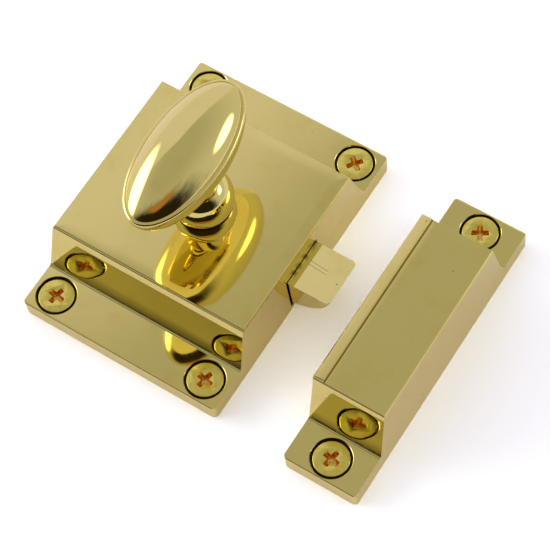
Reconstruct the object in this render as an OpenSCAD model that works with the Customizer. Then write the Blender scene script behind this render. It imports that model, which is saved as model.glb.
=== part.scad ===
// Cupboard latch with an oval knob, and the keep that its bolt shoots into.
// X runs the way the bolt shoots, Y along the plate and Z away from the door.
// The origin is the centre of the latch plate, on the face that meets the door.

/* [Latch plate] */
// Width of the plate, across the door
plate_w = 45; // [43:0.5:52]
// Length of each screw flange, beyond the raised case
flange_l = 9.6; // [9.2:0.1:14]
// Thickness of the screw flanges
plate_t = 4; // [3.5:0.1:4.5]
// Radius of the plate's upright corners
plate_corner_r = 1.2; // [0.6:0.1:2]

/* [Raised case] */
// Height of the case top above the door
case_h = 15; // [15:0.1:16]
// How far each end of the case leans in over its height
case_end_run = 3.2; // [2:0.1:4]
// Room between the turning cam and each end of the hollow
cam_room = 4.55; // [3.5:0.05:6]
// How much narrower each side is at the top than at the door
case_draft = 0.65; // [0.2:0.05:1]
// Thickness of the case sides
case_wall = 3; // [2.6:0.1:3.2]
// Thickness of the case ends
case_end_wall = 3.6; // [3:0.1:4.5]
// Thickness of the case roof
case_roof = 3; // [2.8:0.1:3]
// Radius of the polished outer edges
edge_r = 0.45; // [0.2:0.05:0.6]
// Radius of the hollow where a sloping end meets its flange
foot_fillet = 0.7; // [0.4:0.1:1]

/* [Keep] */
// Distance from the latch's centre line to the keep's
keep_x = 46.5; // [45:0.5:60]
// How far along the plate the keep's middle lies
keep_y = -1.1; // [-1.5:0.1:1.5]
// Width of the keep
keep_w = 16; // [15.4:0.2:18]
// Length of each of the keep's screw flanges
keep_flange_l = 9.4; // [9:0.1:14]
// Height of the keep's flat top above the frame
keep_h = 16.6; // [16:0.1:17.4]
// How far each end of the keep's box leans in over its height
keep_end_run = 3.1; // [2:0.1:4]
// Length of the keep's box where it meets the flanges
keep_foot_l = 44.8; // [40:0.2:50]
// How much narrower the keep's outer side is at the top
keep_draft = 0.8; // [0.3:0.05:1]
// Thickness of the keep's walls
keep_wall = 2.6; // [2.2:0.1:3]
// Thickness of the keep's roof
keep_roof = 4; // [3.4:0.1:4.4]
// Width of the raised lip along the keep's open side
lip_w = 2.2; // [2:0.1:3]
// How far the lip's edge stands above the flat top
lip_rise = 0.75; // [0.4:0.05:1]
// Width of the mouth that takes the bolt
mouth_w = 18; // [16:0.5:22]

/* [Screws] */
// Distance of the latch screws from the plate's long edges
screw_edge = 5.1; // [4.5:0.1:8]
// Diameter of a screw head
head_d = 7.2; // [6.8:0.1:7.4]
// Diameter of a screw's plain shank
shank_d = 3.5; // [3:0.1:3.8]
// Diameter of a screw's threaded length, midway between root and crest
thread_d = 3; // [2.6:0.1:3.2]
// Overall length of a screw
screw_l = 16; // [12:1:20]
// Depth of a screw head below the flange face
head_sunk = 0.1; // [0:0.05:0.3]
// Width of the gap round a screw head
head_gap = 0.45; // [0.3:0.05:0.6]

/* [Bolt] */
// Width of the bolt's nose
bolt_w = 10.4; // [10:0.1:11]
// How far the bolt's flat top lies below the hollow's roof
bolt_drop = 1.5; // [1.4:0.1:2]
// Height of the nose's underside above the back cover
nose_lift = 1.3; // [1:0.1:1.6]
// How far the bolt stands out of the case at rest
bolt_reach = 8.85; // [8.6:0.05:9.5]
// How far along the plate the bolt lies off the middle
bolt_y = 0.7; // [-0.8:0.1:0.8]
// Radius of the rounded underside of the nose
nose_r = 13; // [12.8:0.1:15]

/* [Knob] */
// How far the spindle lies off the middle, across the plate
spindle_x = 0.5; // [0:0.1:0.8]
// Length of the oval head
knob_l = 33.4; // [30:0.2:38]
// Width of the oval head
knob_w = 16.5; // [15:0.1:20]
// Height of the head's rim above the door
rim_z = 35.8; // [33:0.1:40]
// Height of the domed face above the rim
dome_h = 5; // [4:0.1:6]
// Depth of the head's egg-shaped back below the rim
back_h = 8.8; // [7:0.1:10]
// Width of the flat bead round the rim
bead_w = 0.75; // [0.5:0.05:1]
// Radius of the ball at the foot of the knob
ball_r = 6.3; // [5.8:0.1:6.6]
// Radius of the narrow neck
neck_r = 3.8; // [3.2:0.1:4.2]
// Lean of the neck and head, in degrees, as the latch was found
knob_lean = 4.5; // [0:0.5:5]

/* [Works] */
// Radius of the circle that the cam's curve unwinds from
cam_base_r = 7; // [6.8:0.05:7.05]
// Turn of the knob that draws the bolt, in degrees
knob_turn = 70; // [60:1:70]
// Radius of the spindle in its bearing
spindle_r = 3; // [2.8:0.1:3.1]
// Width across the spindle's square
square_w = 4.2; // [3.8:0.1:4.4]
// Height of the cam's underside above the door
cam_bottom = 3.2; // [3:0.1:3.4]
// Share of the height above it that the cam takes, under the bolt's tail plate
cam_share = 0.54; // [0.5:0.01:0.58]
// Thickness of the back cover
cover_t = 1; // [0.8:0.1:1]
// Outer radius of the bolt's spring
spring_r = 2.4; // [2.2:0.1:2.5]
// Radius of the spring's wire
wire_r = 0.3; // [0.25:0.05:0.35]
// Turns of the bolt's spring
spring_turns = 6; // [5:1:6]

/* [Hidden] */
brass = "#c8b060";
screw_brass = "#c9ac3c";
steel = "#b9bcc0";

// Clearances between pieces, and the margin by which cuts overshoot
run_gap = 0.05;
slide_gap = 0.1;
seat_gap = 0.02;
past = 1;

// The cam at rest and at the end of its turn, in radians unwound from its base circle
cam_start = 0.5;
cam_end = cam_start + knob_turn * PI / 180;
cam_reach = cam_base_r * sqrt(1 + cam_end * cam_end);

// Lengths along the plate and the keep, worked out from the middle
hollow_foot_y = cam_reach + cam_room;
case_foot_l = 2 * (hollow_foot_y + case_end_wall);
case_top_l = case_foot_l - 2 * case_end_run;
plate_l = case_foot_l + 2 * flange_l;
keep_top_l = keep_foot_l - 2 * keep_end_run;
keep_l = keep_foot_l + 2 * keep_flange_l;

// Screws: a flat face with an upright edge over a 45 degree cone
head_edge = 0.4;
edge_chamfer = 0.12;
head_cone_h = (head_d - shank_d) / 2;
sink_h = head_sunk + head_edge;
sink_d = head_d + 2 * head_gap;
sink_chamfer = 0.12;
hole_d = shank_d + 0.5;
screw_point_l = 3;
shank_below = 1;
recess_w = 3.6;
recess_depth = 2;
recess_arm = 1.05;

// Screw holes, in the middle of each flange past its hollow
fillet_run = 0.7 * foot_fillet;
screw_x = plate_w / 2 - screw_edge;
screw_y = (case_foot_l + plate_l) / 4 + fillet_run / 2;
keep_screw_y = (keep_foot_l + keep_l) / 4 + fillet_run / 2;
plate_screw_places = [[-screw_x, -screw_y], [screw_x, -screw_y], [-screw_x, screw_y], [screw_x, screw_y]];
keep_screw_places = [[keep_x, keep_y - keep_screw_y], [keep_x, keep_y + keep_screw_y]];
plate_screw_turns = [-8, -10, 44, 52];
keep_screw_turns = [-11, 29];

// The hollow inside the case, which the cover closes
case_side_top = plate_w / 2 - case_draft;
hollow_x = plate_w / 2 - case_wall;
hollow_top = case_h - case_roof;
hollow_top_y = hollow_foot_y - 0.7 * case_end_run;
boss_r = spindle_r + 2;
boss_gap = 0.25;
boss_drop = bolt_drop - boss_gap;

// The slot in the case's side, with the gap seen round the bolt
slot_gap = 0.3;
slot_w = bolt_w + 2 * slot_gap;

// Cover and its screws, which go up into four posts
cover_margin = 1.2;
cover_x = hollow_x - 0.3;
cover_y = hollow_foot_y + cover_margin;
post_r = 2.4;
post_x = hollow_x - post_r + 0.5;
post_y = hollow_foot_y - post_r - 0.3;
cover_screw_places = [[-post_x, -post_y], [post_x, -post_y], [-post_x, post_y], [post_x, post_y]];
cover_screw_d = 2;
cover_head_d = 3.4;
cover_head_h = 0.8;
cover_screw_l = 6;

// Bolt: the nose, its tail plate over the cam, and the lug that the cam pushes
bolt_top = hollow_top - bolt_drop;
bolt_depth = bolt_top - cover_t - nose_lift;
tail_gap = 0.3;
cam_t = cam_share * (bolt_top - tail_gap - cam_bottom);
cam_top = cam_bottom + cam_t;
tail_bottom = cam_top + tail_gap;
tail_t = bolt_top - tail_bottom;
bolt_tip = plate_w / 2 + bolt_reach;
bolt_throw = cam_base_r * knob_turn * PI / 180;
nose_corner_r = 1;
lug_face = spindle_x - cam_base_r * cam_start - run_gap;
lug_t = 3;
lug_y = -cam_base_r;
lug_w = 2 * spring_r + 1;
tail_end = lug_face - lug_t;
hub_r = spindle_r + 1.8;
nose_inner = spindle_x + hub_r + bolt_throw + 0.6;
lug_drop = 0.4;
spring_z = cam_bottom + spring_r - lug_drop;
peg_r = spring_r - 2 * wire_r - 0.15;
wall_peg_l = 3.6;
lug_peg_l = 1;

// Spindle and knob heights
ball_z = case_h + 2.9;
washer_t = 0.3;
washer_z = case_h + seat_gap;
knob_foot_z = washer_z + washer_t + seat_gap;
foot_drop = ball_z - knob_foot_z;
foot_r = sqrt(ball_r * ball_r - foot_drop * foot_drop);
washer_r = foot_r - 0.3;
stud_r = 2.2;
stud_top = ball_z + ball_r;
neck_z = ball_z + sqrt(ball_r * ball_r - neck_r * neck_r);
bead_h = 0.6;
lean_way = atan2(-0.81, -0.58);
ring_steps = 64;

// Cam screw and washer at the spindle's lower end
cam_washer_t = 0.6;
cam_washer_r = 3.8;
cam_screw_r = 1.2;
cam_screw_head_r = 2.3;
cam_screw_head_t = cam_bottom - cam_washer_t - cover_t - 0.35;
cam_slot_w = 0.6;
cam_slot_depth = 0.45;
cam_screw_l = 5;

// Keep
keep_side_top = keep_w / 2 - keep_draft;
keep_hollow_top = keep_h - keep_roof;
keep_hollow_x = keep_w / 2 - keep_wall;
keep_hollow_y = keep_top_l / 2 - keep_wall;
lip_step_w = 0.12;
lip_round = 0.12;
lip_overhang = 0.1;
lip_fall = 0.1;
lip_foot = 2.5;

// Points of an arc that rounds the corner b of the path a, b, c
function unit(v) = v / norm(v);
function wrap(a) = a > 180 ? a - 360 : a <= -180 ? a + 360 : a;
function corner(a, b, c, r, n = 6) =
    r <= 0 ? [b] :
    let (u = unit(a - b), v = unit(c - b))
    let (half = acos(u * v) / 2)
    let (middle = b + unit(u + v) * r / sin(half))
    let (first = b + u * r / tan(half) - middle, last = b + v * r / tan(half) - middle)
    let (start = atan2(first.y, first.x))
    let (sweep = wrap(atan2(last.y, last.x) - start))
    [for (k = [0:n]) middle + r * [cos(start + sweep * k / n), sin(start + sweep * k / n)]];
// A closed outline with each corner rounded by its own radius
function rounded(points, radii) =
    let (n = len(points))
    [for (i = [0:n - 1]) each corner(points[(i + n - 1) % n], points[i], points[(i + 1) % n], radii[i])];
function mirrored(half) =
    concat(half, [for (i = [len(half) - 1:-1:0]) [-half[i].x, half[i].y]]);
function box_outline(w, l) = [[-w / 2, -l / 2], [w / 2, -l / 2], [w / 2, l / 2], [-w / 2, l / 2]];

// Side view of a plate with a sloping box on it, drawn along Y and up Z
function stepped_outline(l, t, foot_l, top_l, h) =
    let (half = [[l / 2, 0], [l / 2, t], [foot_l / 2, t], [top_l / 2, h]])
    let (radii = [0, edge_r, foot_fillet, edge_r])
    rounded(mirrored(half), concat(radii, [for (i = [3:-1:0]) radii[i]]));

// A profile drawn in Y and Z, carried along X
module along_x(w) {
    rotate([90, 0, 90])
        translate([0, 0, -w / 2]) linear_extrude(w) children();
}

// A profile drawn in X and Z, carried along Y
module along_y(l) {
    rotate([90, 0, 0])
        translate([0, 0, -l / 2]) linear_extrude(l) children();
}

// The hole for a wood screw in a flange of thickness t: a cone that seats the head, under a wider mouth
module screw_hole(t) {
    translate([0, 0, -past]) cylinder(h = t + 2 * past, d = hole_d, $fn = 48);
    rotate_extrude($fn = 64) polygon([
        [0, t - sink_h - head_cone_h], [shank_d / 2, t - sink_h - head_cone_h], [head_d / 2, t - sink_h],
        [sink_d / 2, t - sink_h], [sink_d / 2, t - sink_chamfer], [sink_d / 2 + sink_chamfer, t],
        [sink_d / 2 + sink_chamfer, t + past], [0, t + past]]);
}

// The cross recess of a screw head whose face is at z = 0
module cross_recess(width, depth, arm) {
    intersection() {
        translate([0, 0, -depth]) cylinder(h = depth + past, r1 = width / 4, r2 = width * 0.62, $fn = 32);
        union() {
            cube([width, arm, 2 * depth], center = true);
            cube([arm, width, 2 * depth], center = true);
        }
    }
}

// A countersunk wood screw, its head's face at z = 0 and its point down
module wood_screw(turn) {
    head_r = head_d / 2 - seat_gap;
    plain_l = plate_t - head_sunk + shank_below;
    step = (shank_d - thread_d) / 2;
    rotate([0, 0, turn]) difference() {
        rotate_extrude($fn = 64) polygon([
            [0, 0], [head_r - edge_chamfer, 0], [head_r, -edge_chamfer], [head_r, -head_edge],
            [shank_d / 2, -head_edge - head_cone_h + seat_gap], [shank_d / 2, -plain_l],
            [thread_d / 2, -plain_l - step], [thread_d / 2, -screw_l + screw_point_l], [0, -screw_l]
        ]);
        cross_recess(recess_w, recess_depth, recess_arm);
    }
}

module plate_screw(i) {
    color(screw_brass)
        translate([plate_screw_places[i].x, plate_screw_places[i].y, plate_t - head_sunk])
            wood_screw(plate_screw_turns[i]);
}

module keep_screw(i) {
    color(screw_brass)
        translate([keep_screw_places[i].x, keep_screw_places[i].y, plate_t - head_sunk])
            wood_screw(keep_screw_turns[i]);
}

// The case outside: the side view, the end view and the plan cut each other
module case_outside() {
    side_view = stepped_outline(plate_l, plate_t, case_foot_l, case_top_l, case_h);
    end_view = rounded(
        [[-plate_w / 2, 0], [plate_w / 2, 0], [case_side_top, case_h], [-case_side_top, case_h]],
        [0, 0, edge_r, edge_r]);
    intersection() {
        along_x(plate_w + 2 * past) polygon(side_view);
        along_y(plate_l + 2 * past) polygon(end_view);
        linear_extrude(case_h + past)
            polygon(rounded(box_outline(plate_w, plate_l), [for (i = [0:3]) plate_corner_r]));
    }
}

// The hollow behind the case, narrowing towards the roof
module case_hollow() {
    along_x(2 * hollow_x) polygon(mirrored([
        [hollow_foot_y, -past], [hollow_foot_y, cover_t], [hollow_top_y, hollow_top]]));
}

// Outline of the back cover, with its tongue under the bolt, grown by gap
module cover_outline(gap) {
    square([2 * (cover_x + gap), 2 * (cover_y + gap)], center = true);
    translate([0, bolt_y - slot_w / 2])
        square([plate_w / 2 + (gap > 0 ? past : -case_draft / 10), slot_w]);
}

// One casting: flanges, raised box, roof boss, screw posts and spring peg
module latch_case() {
    color(brass) difference() {
        union() {
            difference() {
                case_outside();
                case_hollow();
            }
            translate([spindle_x, 0, hollow_top - boss_drop])
                cylinder(h = boss_drop + case_roof / 2, r = boss_r, $fn = 64);
            for (p = cover_screw_places)
                translate([p.x, p.y, cover_t]) cylinder(h = hollow_top - cover_t + 0.5, r = post_r, $fn = 48);
            translate([-hollow_x - 0.5, lug_y, spring_z]) rotate([0, 90, 0])
                cylinder(h = wall_peg_l + 0.5, r = peg_r, $fn = 32);
        }
        for (p = plate_screw_places) translate([p.x, p.y, 0]) screw_hole(plate_t);
        translate([spindle_x, 0, 0]) cylinder(h = case_h + past, r = spindle_r + run_gap, $fn = 96);
        translate([hollow_x - past, bolt_y - slot_w / 2, -past])
            cube([case_wall + 2 * past, slot_w, bolt_top + slot_gap + past]);
        translate([0, 0, -past]) linear_extrude(cover_t + past + seat_gap) cover_outline(slide_gap);
        for (p = cover_screw_places)
            translate([p.x, p.y, -past]) cylinder(h = cover_screw_l + 1 + past, d = cover_screw_d + 0.04, $fn = 32);
    }
}

module back_cover() {
    color(brass) difference() {
        linear_extrude(cover_t) cover_outline(0);
        for (p = cover_screw_places) translate([p.x, p.y, 0]) {
            translate([0, 0, -past]) cylinder(h = cover_t + 2 * past, d = cover_screw_d + 0.3, $fn = 32);
            translate([0, 0, -0.01])
                cylinder(h = cover_head_h, d1 = cover_head_d + 0.1, d2 = cover_screw_d + 0.1, $fn = 48);
        }
    }
}

// A small countersunk screw, its face flush with the cover and its end up in the post
module cover_screw(i) {
    slot_w = 0.5;
    color(steel) translate([cover_screw_places[i].x, cover_screw_places[i].y, 0]) difference() {
        rotate_extrude($fn = 48) polygon([
            [0, seat_gap], [cover_head_d / 2 - seat_gap, seat_gap], [cover_screw_d / 2 - seat_gap, cover_head_h],
            [cover_screw_d / 2 - seat_gap, cover_screw_l - 0.4], [cover_screw_d / 2 - 0.3, cover_screw_l],
            [0, cover_screw_l]]);
        rotate([0, 0, 25 + 70 * i]) cube([cover_head_d, slot_w, 0.7], center = true);
    }
}

// One ring of the knob's oval head: half width w, half length l, at height z
function oval_ring(w, l, z) =
    [for (k = [0:ring_steps - 1]) [w * cos(360 * k / ring_steps), l * sin(360 * k / ring_steps), z]];

// Rings of the head: the egg-shaped back, the bead round the rim and the dome
function head_rings() =
    let (half_w = knob_w / 2, half_l = knob_l / 2)
    let (back = [for (a = [14, 22, 31, 40, 49, 58, 67, 76, 84, 90])
        [half_w * sin(a), half_l * sin(a), rim_z - back_h * cos(a)]])
    let (bead = [for (a = [25, 50, 85]) let (inward = bead_w * (1 - cos(a)))
        [half_w - inward, half_l - inward, rim_z + bead_h * sin(a)]])
    let (face_w = half_w - bead_w, face_l = half_l - bead_w)
    let (dome = [for (k = [0:10]) let (s = 1 - k / 10.6)
        [face_w * s, face_l * s, rim_z + bead_h * 0.85 + dome_h * pow(1 - s * s, 0.85)]])
    concat(back, bead, dome);

// A closed solid through rings of ring_steps points each
module ring_solid(rings) {
    count = len(rings);
    points = [for (r = rings) each oval_ring(r[0], r[1], r[2])];
    sides = [for (i = [0:count - 2]) for (k = [0:ring_steps - 1])
        let (next = (k + 1) % ring_steps)
        [i * ring_steps + k, (i + 1) * ring_steps + k, (i + 1) * ring_steps + next, i * ring_steps + next]];
    bottom = [for (k = [0:ring_steps - 1]) k];
    top = [for (k = [ring_steps - 1:-1:0]) (count - 1) * ring_steps + k];
    polyhedron(points, concat([bottom], sides, [top]), convexity = 6);
}

// The ball foot, cut flat below
module knob_foot() {
    low_angle = -asin(foot_drop / ball_r);
    high_angle = asin((neck_z - ball_z) / ball_r);
    arc_steps = 22;
    rotate_extrude($fn = 96) polygon(concat(
        [[0, knob_foot_z]],
        [for (k = [0:arc_steps]) let (a = low_angle + (high_angle - low_angle) * k / arc_steps)
            [ball_r * cos(a), ball_z + ball_r * sin(a)]],
        [[0, neck_z]]));
}

// The round neck, hollowed out as it runs into the back of the head
module knob_neck() {
    flare = 1.3;
    arc_steps = 8;
    share = (neck_r + flare) / (knob_w / 2);
    join_z = rim_z - back_h * sqrt(1 - share * share);
    flare_z = join_z - flare;
    rotate_extrude($fn = 96) polygon(concat(
        [[0, ball_z], [neck_r, ball_z], [neck_r, flare_z]],
        [for (k = [1:arc_steps]) let (a = 90 * k / arc_steps)
            [neck_r + flare * (1 - cos(a)), flare_z + flare * sin(a)]],
        [[0, join_z + 1], [0, ball_z]]));
}

// One casting: foot, neck and oval head
module knob() {
    color(brass) translate([spindle_x, 0, 0]) difference() {
        union() {
            knob_foot();
            translate([0, 0, ball_z])
                rotate([knob_lean * -sin(lean_way), knob_lean * cos(lean_way), 0])
                    translate([0, 0, -ball_z]) {
                        knob_neck();
                        ring_solid(head_rings());
                    }
        }
        translate([0, 0, knob_foot_z - past])
            cylinder(h = stud_top - knob_foot_z + past + seat_gap, r = stud_r + seat_gap, $fn = 64);
    }
}

module knob_washer() {
    color(brass) translate([spindle_x, 0, washer_z]) difference() {
        cylinder(h = washer_t, r = washer_r, $fn = 96);
        translate([0, 0, -past]) cylinder(h = washer_t + 2 * past, r = spindle_r + slide_gap, $fn = 64);
    }
}

// Stud for the knob, round bearing through the roof, and a square for the cam
module spindle() {
    color(steel) translate([spindle_x, 0, 0]) difference() {
        union() {
            translate([0, 0, knob_foot_z - seat_gap]) cylinder(h = stud_top - knob_foot_z, r = stud_r, $fn = 64);
            translate([0, 0, cam_top + seat_gap])
                cylinder(h = knob_foot_z - 2 * seat_gap - cam_top, r = spindle_r, $fn = 96);
            translate([-square_w / 2, -square_w / 2, cam_bottom]) cube([square_w, square_w, cam_t + past]);
        }
        translate([0, 0, cam_bottom - past]) cylinder(h = cam_screw_l + past, r = cam_screw_r + seat_gap, $fn = 32);
    }
}

// A point on the cam's curve, an involute, with the cam at rest; s is the angle unwound, in radians
function cam_point(s) =
    let (turn = (s - cam_start) * 180 / PI)
    let (x = -cam_base_r * s, y = -cam_base_r)
    [x * cos(turn) - y * sin(turn), x * sin(turn) + y * cos(turn)];

// Square-bored cam whose curve keeps pushing the bolt's lug at the same rate
module cam() {
    steps = 24;
    first = 0.12;
    tip = cam_point(cam_end);
    tip_back = tip + [hub_r * 0.4, hub_r * 0.1];
    curve = [for (k = [0:steps]) cam_point(first + (cam_end - first) * k / steps)];
    color(steel) translate([spindle_x, 0, cam_bottom]) difference() {
        union() {
            cylinder(h = cam_t, r = hub_r, $fn = 64);
            linear_extrude(cam_t) polygon(concat(
                [[-hub_r / 4, 0], [-hub_r * 0.63, -hub_r * 0.67]], curve,
                [tip_back, [hub_r * 0.92, -hub_r * 0.4], [hub_r * 0.4, 0]]));
        }
        translate([0, 0, cam_t / 2])
            cube([square_w + 2 * seat_gap, square_w + 2 * seat_gap, cam_t + 2 * past], center = true);
    }
}

module cam_washer() {
    color(steel) translate([spindle_x, 0, cam_bottom - cam_washer_t - seat_gap]) difference() {
        cylinder(h = cam_washer_t, r = cam_washer_r, $fn = 64);
        translate([0, 0, -past]) cylinder(h = cam_washer_t + 2 * past, r = cam_screw_r + slide_gap, $fn = 32);
    }
}

// Cheese-head screw that holds the washer and cam on the spindle
module cam_screw() {
    head_z = cam_bottom - cam_washer_t - 2 * seat_gap;
    color(steel) translate([spindle_x, 0, 0]) difference() {
        union() {
            translate([0, 0, head_z - cam_screw_head_t])
                cylinder(h = cam_screw_head_t, r = cam_screw_head_r, $fn = 48);
            translate([0, 0, head_z]) cylinder(h = cam_screw_l, r = cam_screw_r, $fn = 32);
        }
        translate([0, 0, head_z - cam_screw_head_t])
            cube([2 * cam_screw_head_r + past, cam_slot_w, 2 * cam_slot_depth], center = true);
    }
}

// Side view of the nose, in X and Z: flat top, rounded underside
module nose_profile() {
    arc_steps = 14;
    bottom = bolt_top - bolt_depth;
    arc_x = bolt_tip - sqrt(nose_r * nose_r - pow(nose_r - bolt_depth, 2));
    arc_z = bottom + nose_r;
    tip_angle = -asin((nose_r - bolt_depth) / nose_r);
    polygon(concat(
        [[nose_inner, bolt_top], [nose_inner, bottom]],
        [for (k = [0:arc_steps]) let (a = -90 + (90 + tip_angle) * k / arc_steps)
            [arc_x + nose_r * cos(a), arc_z + nose_r * sin(a)]]));
}

// One casting: nose, tail plate slotted for the spindle, lug and spring peg
module bolt() {
    tail_low_y = lug_y - lug_w / 2;
    tail_high_y = bolt_y + bolt_w / 2;
    slot_r = spindle_r + slide_gap;
    slot_end_x = spindle_x + bolt_throw + slide_gap;
    color(brass) difference() {
        union() {
            intersection() {
                translate([0, bolt_y, 0]) along_y(bolt_w) nose_profile();
                translate([0, 0, -past]) linear_extrude(bolt_top + 2 * past) polygon(rounded(
                    [[nose_inner - past, bolt_y - bolt_w / 2], [bolt_tip, bolt_y - bolt_w / 2],
                    [bolt_tip, bolt_y + bolt_w / 2], [nose_inner - past, bolt_y + bolt_w / 2]],
                    [0, nose_corner_r, nose_corner_r, 0]));
            }
            translate([tail_end, tail_low_y, tail_bottom])
                cube([nose_inner + 0.5 - tail_end, tail_high_y - tail_low_y, tail_t]);
            translate([tail_end, tail_low_y, cam_bottom - lug_drop])
                cube([lug_t, lug_w, tail_bottom - cam_bottom + lug_drop + tail_t / 2]);
            translate([tail_end - lug_peg_l, lug_y, spring_z]) rotate([0, 90, 0])
                cylinder(h = lug_peg_l + 0.5, r = peg_r, $fn = 32);
        }
        for (x = [spindle_x, slot_end_x])
            translate([x, 0, tail_bottom - past]) cylinder(h = tail_t + 2 * past, r = slot_r, $fn = 64);
        translate([spindle_x, -slot_r, tail_bottom - past])
            cube([slot_end_x - spindle_x, 2 * slot_r, tail_t + 2 * past]);
    }
}

// Compression spring between the case wall and the lug, one swept tube
module bolt_spring() {
    sides = 8;
    steps_a_turn = 20;
    mean_r = spring_r - wire_r;
    start_x = -hollow_x + wire_r + seat_gap;
    stop_x = tail_end - wire_r - seat_gap;
    dead = 0.75;
    total = spring_turns + 2 * dead;
    count = steps_a_turn * total;
    closing = 2 * wire_r * 0.55;
    function along(t) =
        t < dead ? start_x + closing * t / dead :
        t > total - dead ? stop_x - closing * (total - t) / dead :
        start_x + closing + (stop_x - start_x - 2 * closing) * (t - dead) / spring_turns;
    function ring(i) =
        let (t = i / steps_a_turn, a = 360 * t)
        [for (k = [0:sides - 1]) let (b = 360 * k / sides, r = mean_r + wire_r * cos(b))
            [along(t) + wire_r * sin(b), lug_y + r * cos(a), spring_z + r * sin(a)]];
    points = [for (i = [0:count]) each ring(i)];
    walls = [for (i = [0:count - 1]) for (k = [0:sides - 1])
        let (next = (k + 1) % sides)
        [i * sides + k, i * sides + next, (i + 1) * sides + next, (i + 1) * sides + k]];
    color(steel) polyhedron(points, concat([[for (k = [sides - 1:-1:0]) k]], walls,
        [[for (k = [0:sides - 1]) count * sides + k]]), convexity = 10);
}

// End view of the keep, in X and Z: open side on the left with its raised lip
function keep_end_view() =
    let (left = -keep_w / 2)
    rounded(
        [[left, 0], [keep_w / 2, 0], [keep_side_top, keep_h],
        [left + lip_w, keep_h], [left + lip_w - lip_step_w, keep_h + lip_rise],
        [left - lip_overhang, keep_h + lip_rise - lip_fall], [left, keep_h - lip_foot]],
        [0, 0, edge_r, lip_round, lip_round, edge_r, 1]);

// One casting, open behind and on the side that faces the latch
module keep() {
    side_view = stepped_outline(keep_l, plate_t, keep_foot_l, keep_top_l, keep_h + lip_rise);
    color(brass) translate([keep_x, keep_y, 0]) difference() {
        intersection() {
            along_x(keep_w + 4) polygon(side_view);
            along_y(keep_l + 2 * past) polygon(keep_end_view());
            linear_extrude(keep_h + past)
                polygon(rounded(box_outline(keep_w + 2 * lip_overhang, keep_l),
                    [for (i = [0:3]) plate_corner_r]));
        }
        translate([-keep_hollow_x, -keep_hollow_y, -past])
            cube([2 * keep_hollow_x, 2 * keep_hollow_y, keep_hollow_top + past]);
        translate([-keep_w, -mouth_w / 2, -past]) cube([keep_w, mouth_w, keep_hollow_top + past]);
        for (y = [-keep_screw_y, keep_screw_y]) translate([0, y, 0]) screw_hole(plate_t);
    }
}

latch_case();  // case
back_cover();
cover_screw(0);  // cover_screw_1
cover_screw(1);  // cover_screw_2
cover_screw(2);  // cover_screw_3
cover_screw(3);  // cover_screw_4
knob();
knob_washer();
spindle();
cam();
cam_washer();
cam_screw();
bolt();
bolt_spring();
plate_screw(0);  // plate_screw_1
plate_screw(1);  // plate_screw_2
plate_screw(2);  // plate_screw_3
plate_screw(3);  // plate_screw_4
keep();
keep_screw(0);  // keep_screw_1
keep_screw(1);  // keep_screw_2
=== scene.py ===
# %% [markdown]
# # A polished brass cupboard latch
#
# The object is a small cast latch for a cupboard door and the keep that its bolt shoots into.
# Both are mirror-polished brass, so most of what the eye reads as shape is the room's reflection.
# This lesson dresses the exact solids of the latch: it rounds their edges, remakes the knob and
# the screws' threads more finely, gives every piece a finish, and sets up floor, light and camera.
#
# The first cell loads the solids as a fixed frame. One could also model on top of a measured
# sketch, but the frame already carries every place and every moving body, so nothing needs fitting.

# %% Load the solids
from math import asin, cos, degrees, hypot, pi, radians, sin, sqrt, tau

import bmesh
import bpy
from mathutils import Matrix, Vector


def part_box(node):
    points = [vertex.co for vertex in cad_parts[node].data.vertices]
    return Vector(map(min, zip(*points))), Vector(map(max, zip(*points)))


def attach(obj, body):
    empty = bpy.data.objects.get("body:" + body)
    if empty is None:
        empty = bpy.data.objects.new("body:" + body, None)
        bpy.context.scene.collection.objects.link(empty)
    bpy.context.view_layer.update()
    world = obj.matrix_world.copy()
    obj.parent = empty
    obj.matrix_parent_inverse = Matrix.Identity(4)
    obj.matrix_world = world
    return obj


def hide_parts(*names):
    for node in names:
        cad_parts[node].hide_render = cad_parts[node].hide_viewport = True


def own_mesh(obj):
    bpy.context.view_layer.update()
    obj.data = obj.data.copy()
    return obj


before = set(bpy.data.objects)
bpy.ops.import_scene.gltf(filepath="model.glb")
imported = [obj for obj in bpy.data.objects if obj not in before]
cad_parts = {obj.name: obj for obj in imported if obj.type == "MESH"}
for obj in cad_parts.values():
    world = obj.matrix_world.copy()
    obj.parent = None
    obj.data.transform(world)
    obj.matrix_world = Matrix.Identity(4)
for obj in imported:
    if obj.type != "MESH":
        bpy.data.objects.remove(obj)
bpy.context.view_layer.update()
MM = 0.001
scene = bpy.context.scene
scene.view_settings.view_transform = "Standard"

# %% [markdown]
# ## The camera
#
# A small metal thing is usually taken from an arm's length with a long lens, which keeps its edges
# close to parallel. The eye, the point it aims at and its slight roll could be set by hand in the
# viewport. Named values are used instead, so the same view comes back on every run.

# %% Camera
eye = Vector((140.20, -142.15, 375.99)) * MM
aim = Vector((18.17, -3.08, 7.5)) * MM
roll = radians(-9.683)
focal_mm = 140.6


def make_camera():
    look = (aim - eye).normalized()
    turn = Matrix.Rotation(-roll, 4, look) @ look.to_track_quat("-Z", "Y").to_matrix().to_4x4()
    data = bpy.data.cameras.new("camera")
    data.lens = focal_mm
    data.sensor_width = 36
    data.clip_start = 0.01
    camera = bpy.data.objects.new("camera", data)
    camera.matrix_world = Matrix.Translation(eye) @ turn
    scene.collection.objects.link(camera)
    scene.camera = camera
    return camera


camera = make_camera()
print("camera is", round((aim - eye).length, 3), "m away, lens", focal_mm, "mm")

# %% [markdown]
# ## Writing shader maths as Python
#
# Materials are node trees, and a tree of Math nodes is hard to read when each is made by hand.
# A small class wraps a socket and overloads the operators, so that `1 - mask` adds its own node.
# Every other kind of node comes from one method, which takes its settings and its inputs.

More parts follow.
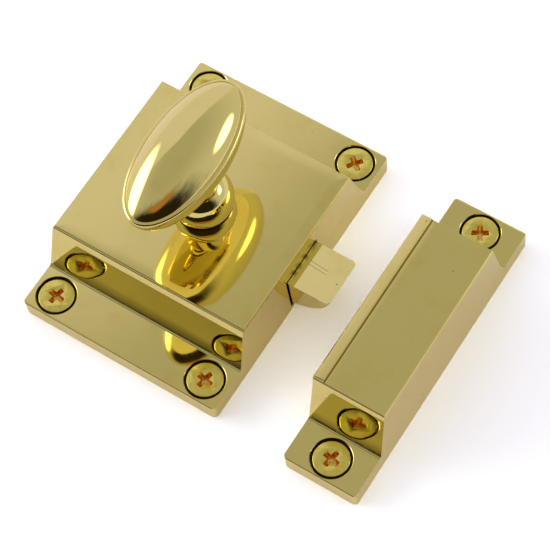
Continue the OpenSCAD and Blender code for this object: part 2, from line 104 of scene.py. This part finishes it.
# %% Sockets that take part in expressions
class Value:
    """An output socket that can be used in an expression on numbers."""

    def __init__(self, shader, socket):
        self.shader = shader
        self.socket = socket

    def maths(self, operation, a, b=0.0):
        return self.shader.maths(operation, a, b)

    def __add__(self, other):
        return self.maths("ADD", self, other)

    def __radd__(self, other):
        return self.maths("ADD", other, self)

    def __sub__(self, other):
        return self.maths("SUBTRACT", self, other)

    def __rsub__(self, other):
        return self.maths("SUBTRACT", other, self)

    def __mul__(self, other):
        return self.maths("MULTIPLY", self, other)

    def __rmul__(self, other):
        return self.maths("MULTIPLY", other, self)

    def __truediv__(self, other):
        return self.maths("DIVIDE", self, other)

    def __pow__(self, other):
        return self.maths("POWER", self, other)


class Shader:
    """The node tree of one material, or of the world."""

    def __init__(self, owner, main="Principled BSDF"):
        owner.use_nodes = True
        self.owner = owner
        self.tree = owner.node_tree
        self.main = self.tree.nodes[main]

    def feed(self, socket, value):
        if isinstance(value, Value):
            self.tree.links.new(value.socket, socket)
        else:
            socket.default_value = value

    def node(self, kind, settings=None, inputs=None, output=0):
        new = self.tree.nodes.new(kind)
        for name, setting in (settings or {}).items():
            setattr(new, name, setting)
        for name, value in (inputs or {}).items():
            self.feed(new.inputs[name], value)
        return Value(self, new.outputs[output])

    def maths(self, operation, a, b=0.0):
        return self.node("ShaderNodeMath", {"operation": operation}, {0: a, 1: b})

    def set(self, **inputs):
        for name, value in inputs.items():
            self.feed(self.main.inputs[name.replace("_", " ")], value)

    def place(self, shift=(0, 0, 0), turn=(0, 0, 0), scale=(1, 1, 1)):
        where = self.node("ShaderNodeTexCoord", output="Object")
        moved = {"Vector": where, "Location": shift, "Rotation": turn, "Scale": scale}
        return self.node("ShaderNodeMapping", {}, moved)

    def along(self, name):
        """The place along one of the object's axes."""
        return self.node("ShaderNodeSeparateXYZ", {}, {0: self.place()}, output=name)

    def noise(self, where, scale, detail=2.0, roughness=0.5):
        inputs = {"Vector": where, "Scale": scale, "Detail": detail, "Roughness": roughness}
        return self.node("ShaderNodeTexNoise", {}, inputs)

    def step(self, value, low, high):
        inputs = {"Value": value, "From Min": low, "From Max": high}
        return self.node("ShaderNodeMapRange", {"interpolation_type": "SMOOTHSTEP"}, inputs)

    def tint(self, mask, first, second, blend="MIX"):
        mixed = {0: mask, 6: first, 7: second}
        return self.node("ShaderNodeMix", {"data_type": "RGBA", "blend_type": blend}, mixed, output=2)

    def bump(self, height, distance, after=None):
        inputs = {"Strength": 1.0, "Distance": distance, "Height": height}
        if after is not None:
            inputs["Normal"] = after
        return self.node("ShaderNodeBump", {}, inputs)


print("shader helpers ready")

# %% [markdown]
# ## Polished brass
#
# Brass is a metal, so it has no diffuse colour: its base colour is the tint of its reflection, and
# two reflections in a row give the deep yellow seen where faces look at each other. The polish is
# nearly a mirror, yet a hand-buffed casting keeps slow waves, a fine grain, a few hairlines from
# wiping and a pit here and there. An image could show them, but noise on object coordinates has no
# seams and stays sharp at any distance.

# %% Where the screws sit
seat_r, flange_top = 4.05 * MM, 4 * MM


def screw_centres(start):
    boxes = [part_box(node) for node in sorted(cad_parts) if node.startswith(start)]
    return [((low.x + high.x) / 2, (low.y + high.y) / 2) for low, high in boxes]


def top_faces(node, below=0.0):
    """The box round the flat top of a casting, which may have a lip above it."""
    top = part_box(node)[1].z - below
    corners = [v.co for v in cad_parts[node].data.vertices if abs(v.co.z - top) < 0.01 * MM]
    low = Vector((min(c.x for c in corners), min(c.y for c in corners), top))
    high = Vector((max(c.x for c in corners), max(c.y for c in corners), top))
    return [(low, high)]


crown_w, crown_h = 2.2 * MM, 0.045 * MM
foot_w, foot_share = 3.5 * MM, 3.0
lip_rise = 0.75 * MM
print("plate screws at", screw_centres("plate_screw"))
print("top faces", top_faces("case"), top_faces("keep", lip_rise))

# %% The brass finishes
def hairlines(shader, turn, length, width, share):
    """Sparse straight scratches: noise stretched along one direction, with its peaks kept."""
    stretched = shader.place(turn=(0, 0, radians(turn)), scale=(1 / length, 1 / width, 1 / width))
    lines = shader.noise(stretched, 1.0, detail=1.0)
    patch = shader.noise(shader.place(shift=(turn * MM, 0, 0)), 1 / (9 * MM))
    return shader.step(lines, 1 - share, 1 - 0.6 * share) * shader.step(patch, 0.5, 0.62)


def pits(shader, size, share):
    """Tiny round holes in a few cells of a Voronoi pattern."""
    inputs = {"Vector": shader.place(), "Scale": 1 / size}
    near = shader.node("ShaderNodeTexVoronoi", {}, inputs)
    cell = shader.node("ShaderNodeTexVoronoi", {}, inputs, output="Color")
    pick = shader.node("ShaderNodeSeparateColor", {}, {"Color": cell})
    return (1 - shader.step(near, 0.05, 0.14)) * shader.step(pick, 1 - share, 1.01 - share)


def seats(shader, centres):
    """The ring round each screw's head, sunk below the flange's top: a mask for painted shade in the gap at the head's
    rim.
    """
    here = shader.place()
    height = shader.node("ShaderNodeSeparateXYZ", {}, {0: here}, output="Z")
    inside = 0.0
    for x, y in centres:
        away = shader.node("ShaderNodeVectorMath", {"operation": "SUBTRACT"}, {0: here, 1: (x, y, 0)})
        flat = shader.node("ShaderNodeVectorMath", {"operation": "MULTIPLY"}, {0: away, 1: (1, 1, 0)})
        radius = shader.node("ShaderNodeVectorMath", {"operation": "LENGTH"}, {0: flat}, output="Value")
        inside = (1 - shader.step(radius, seat_r + 0.02 * MM, seat_r + 0.1 * MM)) + inside
    return inside * (1 - shader.step(height, flange_top - 0.35 * MM, flange_top - 0.1 * MM))


def crown(shader, flats):
    """How much lower a flat face lies near its edges, where a wheel takes more away."""
    here = {name: shader.along(name) for name in "XYZ"}
    lost = 0.0
    for low, high in flats:
        reach = []
        for name, first, last in (("X", low.x, high.x), ("Y", low.y, high.y)):
            off_centre = shader.maths("ABSOLUTE", here[name] - (first + last) / 2)
            reach.append((last - first) / 2 - off_centre)
        inside = shader.maths("MINIMUM", reach[0], reach[1]) / crown_w
        near = 1 - shader.maths("MINIMUM", shader.maths("MAXIMUM", inside, 0.0), 1.0)
        level = 1 - shader.step(shader.maths("ABSOLUTE", here["Z"] - low.z), 0.2 * MM, 0.3 * MM)
        lost = near * near * level + lost
        rise = (here["Z"] - (low.z - crown_w)) / crown_w
        rise = shader.maths("MINIMUM", shader.maths("MAXIMUM", rise, 0.0), 1.0)
        lost = rise * rise * (1 - level) + lost
        outside = shader.step(0.0 - reach[1], -0.3 * MM, -0.1 * MM)
        foot = 1 - (here["Z"] - flange_top) / foot_w
        foot = shader.maths("MINIMUM", shader.maths("MAXIMUM", foot, 0.0), 1.0)
        above = shader.step(here["Z"], flange_top, flange_top + 0.05 * MM)
        lost = lost - foot * foot * outside * above * foot_share
    return lost


def edge_reflection_lines(low, high, groove=False):
    """A painted dark reflection: a thin dark line along a top face's near edge, and along the groove at its left."""
    def line(shader, axis, place):
        off = shader.maths("ABSOLUTE", shader.along(axis) - place)
        return 1 - shader.step(off, 0.05 * MM, 0.13 * MM)

    def lines(shader):
        near = line(shader, "Y", low.y)
        if groove:
            near = shader.maths("MAXIMUM", near, line(shader, "X", low.x))
        level = 1 - shader.step(shader.maths("ABSOLUTE", shader.along("Z") - low.z), 0.3 * MM, 0.4 * MM)
        return near * level * 0.8
    return lines


def bolt_scratches_and_shade(shader):
    """Two old scratches along the bolt, and painted shade in patches where it leaves its slot."""
    x, y = shader.along("X"), shader.along("Y")
    off = shader.maths("ABSOLUTE", shader.maths("ABSOLUTE", y + x * 0.07 - 3.08 * MM) - 0.4 * MM)
    span = shader.step(x, 23.2 * MM, 23.6 * MM) * (1 - shader.step(x, 27.2 * MM, 27.8 * MM))
    scratch = (1 - shader.step(off, 0.03 * MM, 0.09 * MM)) * span * 0.6
    patchy = shader.step(shader.noise(shader.place(), 1 / (1.2 * MM), detail=4.0), 0.42, 0.6)
    # Painted shade: the bolt is darkened in patches where it comes out of the slot.
    return (1 - shader.step(x, 22.0 * MM, 23.1 * MM)) * patchy * 0.8 + scratch


def brass(name, colour, rough=0.05, wave=0.03, grain=0.0010, wear=0.5, pitting=0.03,
          screws=(), flats=(), tilt=(0, 0), marks=None):
    """Polished brass. wave and grain are the heights of its unevenness, in millimetres."""
    shader = Shader(bpy.data.materials.new(name))
    waves = shader.noise(shader.place(), 1 / (14 * MM), detail=1.0)
    fine = shader.noise(shader.place(), 1 / (1.1 * MM), detail=3.0)
    smudge = shader.noise(shader.place(), 1 / (6 * MM), detail=4.0, roughness=0.62)
    scratch = hairlines(shader, 12, 14 * MM, 0.10 * MM, 0.24) + hairlines(shader, 74, 9 * MM, 0.09 * MM, 0.22)
    holes = pits(shader, 1.6 * MM, pitting)
    warm = [c * s for c, s in zip(colour, (0.93, 0.88, 0.70))]
    tarnish = shader.step(smudge, 0.48, 0.75) * 0.55
    shade = shader.tint(tarnish, (*colour, 1), (*warm, 1))
    dark = shader.tint(holes * 0.75, shade, (0.16, 0.09, 0.03, 1))
    # Painted shade: the screws' sunk rings are darkened nearly to black for the shadowed gap round each head, and made
    # rougher.
    seat_shade = seats(shader, screws) if screws else 0.0
    dark = shader.tint(seat_shade, dark, (0.03, 0.02, 0.01, 1))
    # Painted reflection and shade: the dark lines along the tops' edges and the keep's groove, and the bolt's darkening
    # by its slot, take this dark colour, as do the bolt's scratches.
    if marks:
        dark = shader.tint(marks(shader), dark, (0.12, 0.075, 0.02, 1))
    normal = shader.bump(waves, wave * MM)
    if flats:
        normal = shader.bump(1 - crown(shader, flats), crown_h, normal)
    if any(tilt):
        slant = shader.along("X") * (tilt[0] / MM) + shader.along("Y") * (tilt[1] / MM)
        normal = shader.bump(slant, MM, normal)
    normal = shader.bump(fine, grain * MM, normal)
    normal = shader.bump(1 - scratch * wear, 0.0012 * MM, normal)
    normal = shader.bump(1 - holes, 0.02 * MM, normal)
    haze = shader.step(smudge, 0.35, 0.8)
    shader.set(Base_Color=dark, Metallic=1.0, Normal=normal)
    shader.set(Roughness=rough * 0.7 + haze * (rough * 0.8) + scratch * (0.12 * wear) + holes * 0.4 + seat_shade * 0.4)
    return shader.owner


case_brass = brass("case_brass", (0.88, 0.755, 0.24), screws=screw_centres("plate_screw"),
                   flats=top_faces("case"), marks=edge_reflection_lines(*top_faces("case")[0]))
keep_brass = brass("keep_brass", (0.88, 0.755, 0.24), pitting=0.06, screws=screw_centres("keep_screw"),
                   flats=top_faces("keep", lip_rise), marks=edge_reflection_lines(*top_faces("keep", lip_rise)[0], groove=True))
knob_brass = brass("knob_brass", (0.89, 0.765, 0.25), rough=0.035, wave=0.012)
bolt_brass = brass("bolt_brass", (0.88, 0.76, 0.25), rough=0.06, tilt=(0.034, -0.039), marks=bolt_scratches_and_shade)
washer_brass = brass("washer_brass", (0.20, 0.11, 0.04), rough=0.4)
cover_brass = brass("cover_brass", (0.80, 0.66, 0.26), rough=0.26, wave=0.01, grain=0.004, wear=1.0)
print("brass finishes:", [m.name for m in bpy.data.materials if "brass" in m.name])

# %% [markdown]
# ## Steel for the works
#
# The spindle, cam and small screws are plain steel, seen only with the cover off. Turned and filed
# steel is greyer and rougher than polish, and carries marks along one direction. The same noise,
# stretched along one axis, gives the tool marks, and a bump carries them into the light.

# %% The steel finishes
def steel(name, colour, rough, stretch):
    shader = Shader(bpy.data.materials.new(name))
    along = shader.place(scale=tuple(1 / (s * MM) for s in stretch))
    marks = shader.noise(along, 1.0, detail=3.0)
    oil = shader.noise(shader.place(), 1 / (3 * MM), detail=3.0)
    deep = tuple(0.55 * c for c in colour)
    shader.set(Base_Color=shader.tint(shader.step(oil, 0.45, 0.8), (*colour, 1), (*deep, 1)))
    shader.set(Metallic=1.0, Roughness=rough + marks * 0.18, Normal=shader.bump(marks, 0.004 * MM))
    return shader.owner


plain_steel = steel("steel", (0.55, 0.55, 0.54), 0.24, (2.5, 2.5, 0.12))
cam_steel = steel("cam_steel", (0.42, 0.41, 0.40), 0.32, (4, 0.15, 4))
spring_steel = steel("spring_steel", (0.50, 0.50, 0.52), 0.28, (0.4, 0.4, 0.4))
print("steel finishes: 3")

# %% [markdown]
# ## Dressing a casting
#
# The solids have true forms but knife edges, and buffing rounds every edge a little. That narrow
# round is what catches the light. Editing the solid itself isn't possible here, so a copy is
# merged into clean faces, its sharp edges are bevelled, and the copy stands for the solid.

# %% Copies with buffed edges
def finished(bm, name, material, body, stands_for=(), sharp_deg=30):
    """Makes an object of a bmesh, smooth but for its sharp edges, and sets it on its body."""
    for face in bm.faces:
        face.smooth = True
    for edge in bm.edges:
        edge.smooth = edge.calc_face_angle(0) < radians(sharp_deg)
    mesh = bpy.data.meshes.new(name)
    bm.to_mesh(mesh)
    bm.free()
    mesh.materials.append(material)
    piece = bpy.data.objects.new(name, mesh)
    scene.collection.objects.link(piece)
    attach(piece, body)
    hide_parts(*stands_for)
    print(name, len(mesh.vertices), "vertices")
    return piece


def merged_copy(node):
    """A bmesh of the solid's surface with its loose triangles joined and its flats in one face."""
    bm = bmesh.new()
    bm.from_mesh(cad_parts[node].data)
    bmesh.ops.remove_doubles(bm, verts=bm.verts, dist=0.001 * MM)
    bmesh.ops.dissolve_limit(bm, angle_limit=radians(0.4), verts=bm.verts, edges=bm.edges)
    return bm


def buff(bm, width, sharp_deg=32, steps=2):
    """Rounds the sharp edges of a casting, as a buffing wheel does."""
    sharp = [e for e in bm.edges if e.is_manifold and e.calc_face_angle(0) > radians(sharp_deg)]
    bmesh.ops.bevel(bm, geom=sharp, offset=width, offset_type="OFFSET", segments=steps,
                    profile=0.5, affect="EDGES", material=-1, clamp_overlap=True)
    bmesh.ops.remove_doubles(bm, verts=bm.verts, dist=0.002 * MM)


def dress(node, material, width=0.1 * MM, body="root"):
    bm = merged_copy(node)
    buff(bm, width)
    piece = finished(bm, node + "_polished", material, body, (node,), sharp_deg=40)
    weigh = piece.modifiers.new("flat_faces_stay_flat", "WEIGHTED_NORMAL")
    weigh.keep_sharp = True
    return piece


dress("case", case_brass)
dress("keep", keep_brass)
dress("bolt", bolt_brass, body="bolt")

# %% [markdown]
# ## The knob
#
# The knob is one casting: a ball foot cut flat below, a round neck and an oval head that leans a
# little. Its reflections must run smoothly, so it gets far more faces than the solid. The foot and
# the neck are round, so a profile is spun. The head is oval: it starts from a circle, is scaled to
# the rim's oval, and each further ring is extruded from the last and scaled to its own size.

# %% The knob's sizes
knob_axis_x = 0.5 * MM
knob_l, knob_w = 33.4 * MM, 16.5 * MM
rim_z, dome_h, back_h = 35.8 * MM, 4.99 * MM, 9.6 * MM
bead_w, bead_h = 0.75 * MM, 0.6 * MM
case_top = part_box("case")[1].z
ball_z, ball_r, neck_r = case_top + 2.9 * MM, 6.3 * MM, 4.1 * MM
foot_z = case_top + 0.34 * MM
stud_r = 2.22 * MM
lean, lean_way = radians(4.5), Vector((-0.58, -0.81, 0)).normalized()
print("knob head", knob_l, "by", knob_w, "m, rim at", rim_z)


# %% A lathe and a way to build oval rings
def lathe(bm, profile, centre_x, steps=128):
    """Spins a profile of (radius, height) points round the upright through centre_x."""
    verts = [bm.verts.new((centre_x + r, 0, z)) for r, z in profile]
    edges = [bm.edges.new(pair) for pair in zip(verts, verts[1:])]
    bmesh.ops.spin(bm, geom=verts + edges, cent=(centre_x, 0, 0), axis=(0, 0, 1),
                   angle=tau, steps=steps, use_merge=True)


def arc(radius, height, first_deg, last_deg, steps):
    """Points of a ball's outline round (0, height), from one angle to another."""
    angles = [radians(first_deg + (last_deg - first_deg) * k / steps) for k in range(steps + 1)]
    return [(radius * cos(a), height + radius * sin(a)) for a in angles]


def oval_rings(bm, rings, centre_x, sides=192):
    """Carries an oval through rings of (half width, half length, height) and closes both ends."""
    made = bmesh.ops.create_circle(bm, radius=1, segments=sides, cap_ends=False)["verts"]
    w, l, z = rings[0]
    place = Matrix.Translation((centre_x, 0, z)) @ Matrix.Diagonal((w, l, 1, 1))
    bmesh.ops.transform(bm, matrix=place, verts=made)
    bmesh.ops.contextual_create(bm, geom=made)
    loop = [e for e in bm.edges if e.verts[0] in set(made)]
    for (w, l, z), (next_w, next_l, next_z) in zip(rings, rings[1:]):
        grown = bmesh.ops.extrude_edge_only(bm, edges=loop)["geom"]
        verts = [g for g in grown if isinstance(g, bmesh.types.BMVert)]
        loop = [g for g in grown if isinstance(g, bmesh.types.BMEdge)]
        centre = Matrix.Translation((-centre_x, 0, -z))
        bmesh.ops.scale(bm, vec=(next_w / w, next_l / l, 1), space=centre, verts=verts)
        bmesh.ops.translate(bm, vec=(0, 0, next_z - z), verts=verts)
    bmesh.ops.contextual_create(bm, geom=verts)


def head_rings():
    """The egg-shaped back, the bead round the rim and the dome, from below to above."""
    half_w, half_l = knob_w / 2, knob_l / 2
    rings = []
    for k in range(1, 31):
        a = radians(3 * k)
        rings.append((half_w * sin(a), half_l * sin(a), rim_z - back_h * cos(a)))
    for k in range(1, 9):
        a = radians(85 * k / 8)
        inward = bead_w * (1 - cos(a))
        rings.append((half_w - inward, half_l - inward, rim_z + bead_h * sin(a)))
    face_w, face_l = half_w - bead_w, half_l - bead_w
    for k in range(41):
        s = cos(radians(88.5 * k / 40))
        height = rim_z + 0.85 * bead_h + dome_h * (1 - s * s) ** 0.85
        rings.append((face_w * s, face_l * s, height))
    return rings


def make_knob():
    bm = bmesh.new()
    foot = [(0, ball_z + ball_r * 0.99), (stud_r, ball_z + ball_r * 0.9), (stud_r, foot_z)]
    low = degrees(asin((foot_z - ball_z) / ball_r))
    lathe(bm, foot + arc(ball_r, ball_z, low, 90, 48), knob_axis_x)
    above = bmesh.new()
    flare = 2.2 * MM
    reach = (neck_r + flare) / (knob_w / 2)
    join_z = rim_z - back_h * sqrt(1 - reach * reach)
    neck = [(0, ball_z), (neck_r, ball_z), (neck_r, join_z - flare)]
    turn = [radians(70 * k / 14) for k in range(1, 15)]
    neck += [(neck_r + flare * (1 - cos(a)), join_z - flare + flare * sin(a)) for a in turn]
    lathe(above, neck + [(0, join_z + MM)], knob_axis_x)
    oval_rings(above, head_rings(), knob_axis_x)
    axis = Vector((0, 0, 1)).cross(lean_way)
    pivot = Vector((knob_axis_x, 0, ball_z))
    bmesh.ops.rotate(above, cent=pivot, matrix=Matrix.Rotation(lean, 3, axis), verts=above.verts)
    leaned = bpy.data.meshes.new("leaned")
    above.to_mesh(leaned)
    above.free()
    bm.from_mesh(leaned)
    bpy.data.meshes.remove(leaned)
    bmesh.ops.remove_doubles(bm, verts=bm.verts, dist=0.001 * MM)
    bmesh.ops.recalc_face_normals(bm, faces=bm.faces)
    return finished(bm, "oval_knob", knob_brass, "knob_and_cam", ("knob",), sharp_deg=20)


make_knob()

# %% [markdown]
# ## Wood screws
#
# A countersunk wood screw keeps its head and plain shank from the solid, where the cross recess is
# already cut. The solid's threaded length is a plain stand-in, so it is cut off and remade: a
# tapering core from the lathe, and a ridge that is a small triangle spun with a rise at each step,
# which is how a helix is made. A boolean could join them, but they only need to overlap.

# %% Screw brass, with a painted reflection in its recess and painted shade round its head
recess_r, head_r = 1.9 * MM, 3.58 * MM


def screw_finish(name, centre, face_z):
    """Duller brass with a fine grain, centred on one screw's head, with a painted reflection in its recess and painted
    shade round the head.
    """
    shader = Shader(bpy.data.materials.new(name))
    here = shader.place(shift=(-centre.x, -centre.y, -face_z))
    flat = shader.node("ShaderNodeVectorMath", {"operation": "MULTIPLY"}, {0: here, 1: (1, 1, 0)})
    radius = shader.node("ShaderNodeVectorMath", {"operation": "LENGTH"}, {0: flat}, output="Value")
    height = shader.node("ShaderNodeSeparateXYZ", {}, {0: here}, output="Z")
    below = 1 - shader.step(height, -0.45 * MM, -0.06 * MM)
    recess = below * (1 - shader.step(radius, recess_r, recess_r + 0.2 * MM))
    rim_shade = (1 - shader.step(height, -0.25 * MM, -0.10 * MM)) * shader.step(radius, head_r - 0.4 * MM, head_r - 0.2 * MM)
    grain = shader.noise(here, 1 / (0.22 * MM), detail=3.0, roughness=0.65)
    blotch = shader.noise(here, 1 / (1.4 * MM), detail=4.0)
    bright, dull = (0.92, 0.79, 0.17, 1), (0.76, 0.61, 0.09, 1)
    shade = shader.tint(shader.step(blotch, 0.42, 0.72), bright, dull)
    # Painted reflection: the recess is painted orange, for the brass reflecting itself again and again inside it, and
    # the brighter specks are painted glints.
    painted_glints = shader.step(shader.noise(here, 1 / (0.5 * MM), detail=2.0), 0.42, 0.62)
    orange = shader.tint(painted_glints, (0.78, 0.38, 0.05, 1), (1.0, 0.76, 0.22, 1))
    shade = shader.tint(recess, shade, orange)
    # Painted shade: the ring where the head sinks into its hole is darkened nearly to black, for the shadowed gap round
    # it.
    shade = shader.tint(rim_shade, shade, (0.03, 0.02, 0.01, 1))
    normal = shader.bump(grain, 0.016 * MM)
    shader.set(Base_Color=shade, Metallic=1.0, Normal=normal, Specular_Tint=(1, 0.88, 0.6, 1))
    shader.set(Roughness=0.16 + shader.step(blotch, 0.35, 0.75) * 0.10 + rim_shade * 0.4)
    return shader.owner


# %% Screws with real threads
core_r, crest_r, thread_pitch = 1.2 * MM, 1.72 * MM, 1.4 * MM
shank_r = 1.75 * MM


def make_screw(node):
    low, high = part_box(node)
    centre = (low + high) / 2
    cut_z = high.z - 3.2 * MM
    bm = merged_copy(node)
    everything = bm.verts[:] + bm.edges[:] + bm.faces[:]
    bmesh.ops.bisect_plane(bm, geom=everything, plane_co=(0, 0, cut_z), plane_no=(0, 0, -1), clear_outer=True)
    bmesh.ops.holes_fill(bm, edges=[e for e in bm.edges if e.is_boundary])
    buff(bm, 0.06 * MM)
    rod = bmesh.new()
    start_z, point_z = cut_z - 1.2 * MM, low.z + 3.2 * MM
    profile = [(0, cut_z + 0.3 * MM), (shank_r * 0.97, cut_z + 0.3 * MM), (shank_r, cut_z),
               (shank_r, start_z), (core_r, start_z - 0.6 * MM), (core_r, point_z), (0, low.z)]
    lathe(rod, profile, 0, steps=40)
    turns = (start_z - low.z - 0.8 * MM) / thread_pitch
    steps = round(turns * 32)
    ridge = [(core_r - 0.1 * MM, 0.42 * MM), (crest_r, 0.05 * MM), (crest_r, -0.05 * MM), (core_r - 0.1 * MM, -0.3 * MM)]
    verts = [rod.verts.new((r, 0, start_z + z)) for r, z in ridge]
    face = rod.faces.new(verts)
    edges = list(face.edges)
    rise = -thread_pitch * turns / steps
    bmesh.ops.spin(rod, geom=verts + edges + [face], cent=(0, 0, 0), axis=(0, 0, 1), dvec=(0, 0, rise),
                   angle=tau * turns, steps=steps, use_merge=False)
    for vert in rod.verts:
        taper = (vert.co.z - low.z) / (point_z - low.z)
        if taper < 1:
            vert.co.xy *= max(taper, 0.02) if hypot(*vert.co.xy) > core_r * 0.5 else 1
    bmesh.ops.translate(rod, vec=(centre.x, centre.y, 0), verts=rod.verts)
    bmesh.ops.recalc_face_normals(rod, faces=rod.faces)
    below = bpy.data.meshes.new("below")
    rod.to_mesh(below)
    rod.free()
    bm.from_mesh(below)
    bpy.data.meshes.remove(below)
    material = screw_finish("brass_of_" + node, centre, high.z)
    finished(bm, node + "_cut", material, "root", (node,))


for node in sorted(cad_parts):
    if node.startswith(("plate_screw", "keep_screw")):
        make_screw(node)

# %% [markdown]
# ## The works and the back
#
# The pieces behind the case are plain turned and stamped parts whose solids are already right.
# They could be copied and bevelled as the castings are, but nothing gains by it, so they keep
# their solids and only take a finish.

# %% Finishes for the remaining solids
finishes = {
    "back_cover": cover_brass, "knob_washer": washer_brass, "spindle": plain_steel, "cam": cam_steel,
    "cam_washer": plain_steel, "cam_screw": plain_steel,
    "cover_screw_1": plain_steel, "cover_screw_2": plain_steel,
    "cover_screw_3": plain_steel, "cover_screw_4": plain_steel,
}
for node, material in finishes.items():
    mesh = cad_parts[node].data
    mesh.materials.clear()
    mesh.materials.append(material)
print("finished in place:", len(finishes))

# %% [markdown]
# The coil spring is pressed together as the bolt draws back. Here it keeps the shape of its
# solid: a merged copy with a mesh of its own and a finish of spring steel.


def make_spring():
    coil = finished(merged_copy("bolt_spring"), "coil", spring_steel, "root", ("bolt_spring",))
    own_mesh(coil)


make_spring()

# %% [markdown]
# ## Floor
#
# The plates lie flat on a white sweep that is evenly lit, as they will on a door, with the screws
# gone into it. The sweep could stand under the screws' points, but then the plates would float and
# their shadows and reflections would come apart. A white surface under soft light renders
# light grey, so camera rays alone get some glow added, which brings the ground to white and keeps
# the shadows. Mirrors see the plain surface, as the polished faces in a studio would.

# %% White sweep
camera_fill, mirror_fill = (0.16, 0.16, 0.16, 1), (0.08, 0.07, 0.09, 1)
camera_white, mirror_white, plain_white = (1.78, 1.83, 1.85, 1), (1.20, 1.17, 1.22, 1), (0.80, 0.80, 0.80, 1)
plate_back = -0.02 * MM


def make_floor():
    bm = bmesh.new()
    bmesh.ops.create_grid(bm, x_segments=1, y_segments=1, size=1.2)
    mesh = bpy.data.meshes.new("sweep")
    bm.to_mesh(mesh)
    bm.free()
    floor = bpy.data.objects.new("sweep", mesh)
    floor.location.z = plate_back
    scene.collection.objects.link(floor)
    shader = Shader(bpy.data.materials.new("sweep_white"))
    seen = shader.node("ShaderNodeLightPath", output="Is Camera Ray")
    mirrored = shader.node("ShaderNodeLightPath", output="Is Glossy Ray")
    glow = shader.tint(seen, shader.tint(mirrored, (0, 0, 0, 1), mirror_fill), camera_fill)
    white = shader.tint(seen, shader.tint(mirrored, plain_white, mirror_white), camera_white)
    shader.set(Base_Color=white, Roughness=1.0, Specular_IOR_Level=0.0)
    shader.set(Emission_Color=glow, Emission_Strength=1.0)
    mesh.materials.append(shader.owner)
    return floor


make_floor()

# %% [markdown]
# ## Light
#
# Polished metal shows its surroundings, so the light is designed as a room. Overhead it is a pale
# grey ceiling. A tall soft window stands to the left and a small one behind on the right, and the
# far side is a pale panel. The side where the photographer stands is dark, with a warm edge.
# Area lamps would do for the windows alone, but one sky painted by direction also holds the dark
# side, costs no noise and keeps the same reflections for every camera.

# %% The room
class Room(Shader):
    """The world's shader, whose colour depends on the direction of a ray alone."""

    def __init__(self, world):
        super().__init__(world, "Background")
        self.ray = self.node("ShaderNodeTexCoord", output="Generated")
        axis = {name: self.node("ShaderNodeSeparateXYZ", {}, {0: self.ray}, output=name) for name in "XYZ"}
        self.azimuth = self.maths("ARCTAN2", axis["Y"], axis["X"]) * (180 / pi)
        self.elevation = self.maths("ARCSINE", axis["Z"]) * (180 / pi)
        self.ripple = self.noise(self.ray, 5.0, detail=3.0, roughness=0.6) - 0.5

    def patch(self, azimuth, elevation, half_wide, half_high, soft, ragged=0.0):
        """A soft oval of the sky round one direction, in degrees. ragged breaks up its edge."""
        turn = self.maths("ABSOLUTE", self.azimuth - azimuth)
        turn = self.maths("MINIMUM", turn, 360 - turn)
        across = self.maths("POWER", turn / half_wide, 2)
        up = self.maths("POWER", self.maths("ABSOLUTE", self.elevation - elevation) / half_high, 2)
        far = self.maths("SQRT", across + up) + self.ripple * ragged
        return 1 - self.step(far, 1 - soft, 1 + soft)


def make_room():
    world = bpy.data.worlds.new("room")
    scene.world = world
    room = Room(world)
    high, low = (0.44, 0.42, 0.44, 1), (0.60, 0.585, 0.66, 1)
    sky = room.tint(room.step(room.elevation, 10, 70), low, high)
    panel = room.patch(146, 20, 48, 43, 0.06)
    sky = room.tint(panel, sky, (0.68, 0.65, 0.82, 1))
    dark = room.patch(-62, 17, 64, 33, 0.26, ragged=0.35)
    sky = room.tint(dark, sky, (0.020, 0.015, 0.010, 1))
    dusk = room.patch(-50, 46, 34, 5, 0.5, ragged=0.5)
    sky = room.tint(dusk, sky, (0.42, 0.19, 0.05, 1))
    window = room.patch(-162, 16, 25, 19, 0.28)
    sky = room.tint(window, sky, (3.4, 3.4, 3.7, 1))
    small = room.patch(40, 21, 15, 7, 0.30)
    sky = room.tint(small, sky, (2.8, 2.8, 3.0, 1))
    room.set(Color=sky, Strength=1.0)


make_room()
print("lit by the painted room alone")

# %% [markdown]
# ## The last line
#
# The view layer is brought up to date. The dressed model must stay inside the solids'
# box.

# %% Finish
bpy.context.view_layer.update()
